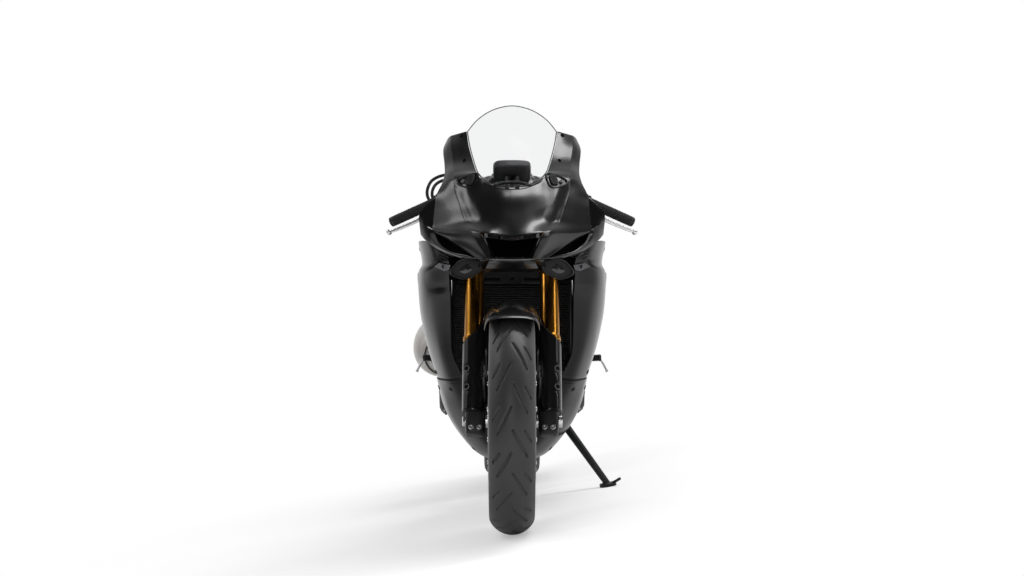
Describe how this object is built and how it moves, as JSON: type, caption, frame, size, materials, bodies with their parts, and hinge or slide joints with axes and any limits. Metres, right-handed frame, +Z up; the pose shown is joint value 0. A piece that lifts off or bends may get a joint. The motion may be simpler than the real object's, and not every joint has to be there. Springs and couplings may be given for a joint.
{
  "type": "sport motorcycle",
  "caption": "Fully faired sport motorcycle with clip-on handlebars and a raised tail, parked leaning on its folding side stand.",
  "frame": {"origin": "middle of the parked machine's plan, at floor level", "axes": "+X to the rider's left, +Y rearwards, +Z up; the machine leans 10 degrees towards +X"},
  "size_m": [0.7202, 2.0019, 1.15],
  "materials": {
    "front_tyre": "matt",
    "front_rim": "painted black",
    "front_discs": "ground",
    "rear_sprocket": "satin",
    "fork_outer_tubes": "gold anodised",
    "fork_lower_legs": "anodised black",
    "front_axle": "satin",
    "lower_clamp_and_stem": "anodised black",
    "handlebars": "anodised black",
    "grips": "ribbed",
    "switch_pods": "matt",
    "clutch_lever": "polished",
    "brake_reservoir": "satin",
    "throttle_cables": "matt",
    "bodywork": "satin black paint",
    "front_calipers": "anodised black",
    "main_frame": "satin",
    "engine_block": "satin",
    "radiator": "matt black core",
    "exhaust_headers": "heat-tinted",
    "exhaust_silencer": "brushed",
    "swingarm": "satin",
    "shock_absorber": "satin",
    "drive_chain": "oiled",
    "front_sprocket": "satin",
    "rear_caliper": "anodised",
    "axle_spacers": "satin",
    "windscreen": "clear polycarbonate",
    "air_intake": "matt",
    "headlights": "clear lens over grey bowl",
    "rider_seat": "grained vinyl",
    "tail_lamp": "red lens",
    "subframe": "satin",
    "footrest_left": "anodised",
    "side_stand": "satin"
  },
  "bodies": {
    "chassis": {"main_frame": "main_frame", "engine_block": "engine_block", "radiator": "radiator", "exhaust_headers": "exhaust_headers", "exhaust_silencer": "exhaust_silencer", "swingarm": "swingarm", "pivot_shaft": "rear_sprocket", "rear_axle": "front_axle", "shock_absorber": "shock_absorber", "drive_chain": "drive_chain", "front_sprocket": "front_sprocket", "rear_caliper": "rear_caliper", "axle_spacers": "axle_spacers", "windscreen": "windscreen", "nose_cowl": "bodywork", "cowl_left": "bodywork", "cowl_right": "bodywork", "side_fairing_left": "bodywork", "side_fairing_right": "bodywork", "belly_pan_left": "bodywork", "belly_pan_right": "bodywork", "air_intake": "air_intake", "headlights": "headlights", "chin_panel": "switch_pods", "instrument_panel": "switch_pods", "fuel_tank": "bodywork", "rider_seat": "rider_seat", "pillion_seat": "rider_seat", "tail_cowl": "bodywork", "tail_lamp": "tail_lamp", "subframe": "subframe", "undertray": "switch_pods", "footrest_left": "footrest_left", "footrest_right": "footrest_left", "stand_bracket": "side_stand", "chain_guard": "switch_pods"},
    "steering": {"lower_clamp_and_stem": "lower_clamp_and_stem", "upper_clamp": "lower_clamp_and_stem", "fork_outer_tubes": "fork_outer_tubes", "fork_lower_legs": "fork_lower_legs", "front_axle": "front_axle", "front_fender": "bodywork", "front_calipers": "front_calipers", "handlebars": "handlebars", "grips": "grips", "switch_pods": "switch_pods", "clutch_lever": "clutch_lever", "brake_lever": "clutch_lever", "brake_reservoir": "brake_reservoir", "throttle_cables": "throttle_cables", "brake_hose": "throttle_cables"},
    "front_wheel": {"front_tyre": "front_tyre", "front_rim": "front_rim", "front_discs": "front_discs"},
    "rear_wheel": {"rear_tyre": "front_tyre", "rear_rim": "front_rim", "rear_disc": "front_discs", "rear_sprocket": "rear_sprocket"},
    "side_stand": {"side_stand": "side_stand"},
    "fuel_cap": {"fuel_cap": "bodywork"}
  },
  "joints": [
    {"name": "steering", "type": "hinge", "parent": "chassis", "child": "steering", "pos_m": [0.006, -0.44881, 0.77337], "axis": [0.1586, 0.4067, 0.8997], "range_deg": [-20, 20]},
    {"name": "front_wheel_spin", "type": "hinge", "parent": "steering", "child": "front_wheel", "pos_m": [-0.0781, -0.701, 0.29644], "axis": [0.9848, 0, -0.1736], "continuous": true},
    {"name": "rear_wheel_spin", "type": "hinge", "parent": "chassis", "child": "rear_wheel", "pos_m": [-0.07537, 0.674, 0.31194], "axis": [0.9848, 0, -0.1736], "continuous": true},
    {"name": "side_stand_fold", "type": "hinge", "parent": "chassis", "child": "side_stand", "pos_m": [0.05514, 0.099, 0.23436], "axis": [0.8872, -0.0769, 0.4549], "range_deg": [0, 106.8]},
    {"name": "fuel_cap_hinge", "type": "hinge", "parent": "chassis", "child": "fuel_cap", "pos_m": [0.04206, -0.253, 0.97792], "axis": [0.9848, 0, -0.1736], "range_deg": [0, 100]}
  ]
}
